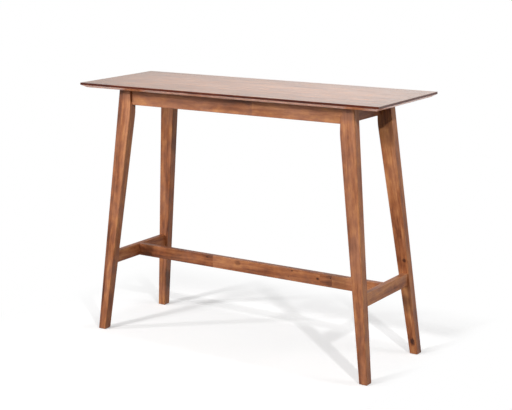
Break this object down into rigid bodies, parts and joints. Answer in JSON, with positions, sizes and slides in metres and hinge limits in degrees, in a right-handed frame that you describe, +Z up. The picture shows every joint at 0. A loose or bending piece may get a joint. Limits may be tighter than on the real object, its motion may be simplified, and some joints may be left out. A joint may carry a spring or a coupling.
{
  "type": "bar table",
  "caption": "Tall narrow wooden bar table: thin top with an undercut edge, apron frame, splayed legs with a knee below the aprons, and low stretchers in an H.",
  "frame": {"origin": "on the floor, under the middle of the table", "axes": "+X along the table's length, +Y from the front to the back, +Z up"},
  "size_m": [1.4, 0.472, 1.06],
  "materials": {
    "top_wood": "satin lacquer on stained wood, grain along the length",
    "frame_wood": "satin lacquer on stained wood, grain along each piece",
    "inner_wood": "raw hardwood",
    "zinc_steel": "zinc plated",
    "glide_plastic": "dark hard plastic"
  },
  "bodies": {
    "root": {"table_top": "top_wood", "leg_front_left": "frame_wood", "leg_front_right": "frame_wood", "leg_back_left": "frame_wood", "leg_back_right": "frame_wood", "apron_front": "frame_wood", "apron_back": "frame_wood", "apron_left": "frame_wood", "apron_right": "frame_wood", "stretcher_left": "frame_wood", "stretcher_right": "frame_wood", "stretcher_long": "frame_wood", "corner_block_front_left": "inner_wood", "corner_block_front_right": "inner_wood", "corner_block_back_left": "inner_wood", "corner_block_back_right": "inner_wood", "centre_brace": "inner_wood", "brace_dowels": "inner_wood", "leg_bolts": "zinc_steel", "leg_washers": "zinc_steel", "leg_nuts": "zinc_steel", "block_screws": "zinc_steel", "top_brackets": "zinc_steel", "bracket_screws": "zinc_steel", "glide_front_left": "glide_plastic", "glide_front_right": "glide_plastic", "glide_back_left": "glide_plastic", "glide_back_right": "glide_plastic", "glide_screws": "zinc_steel"}
  },
  "joints": []
}
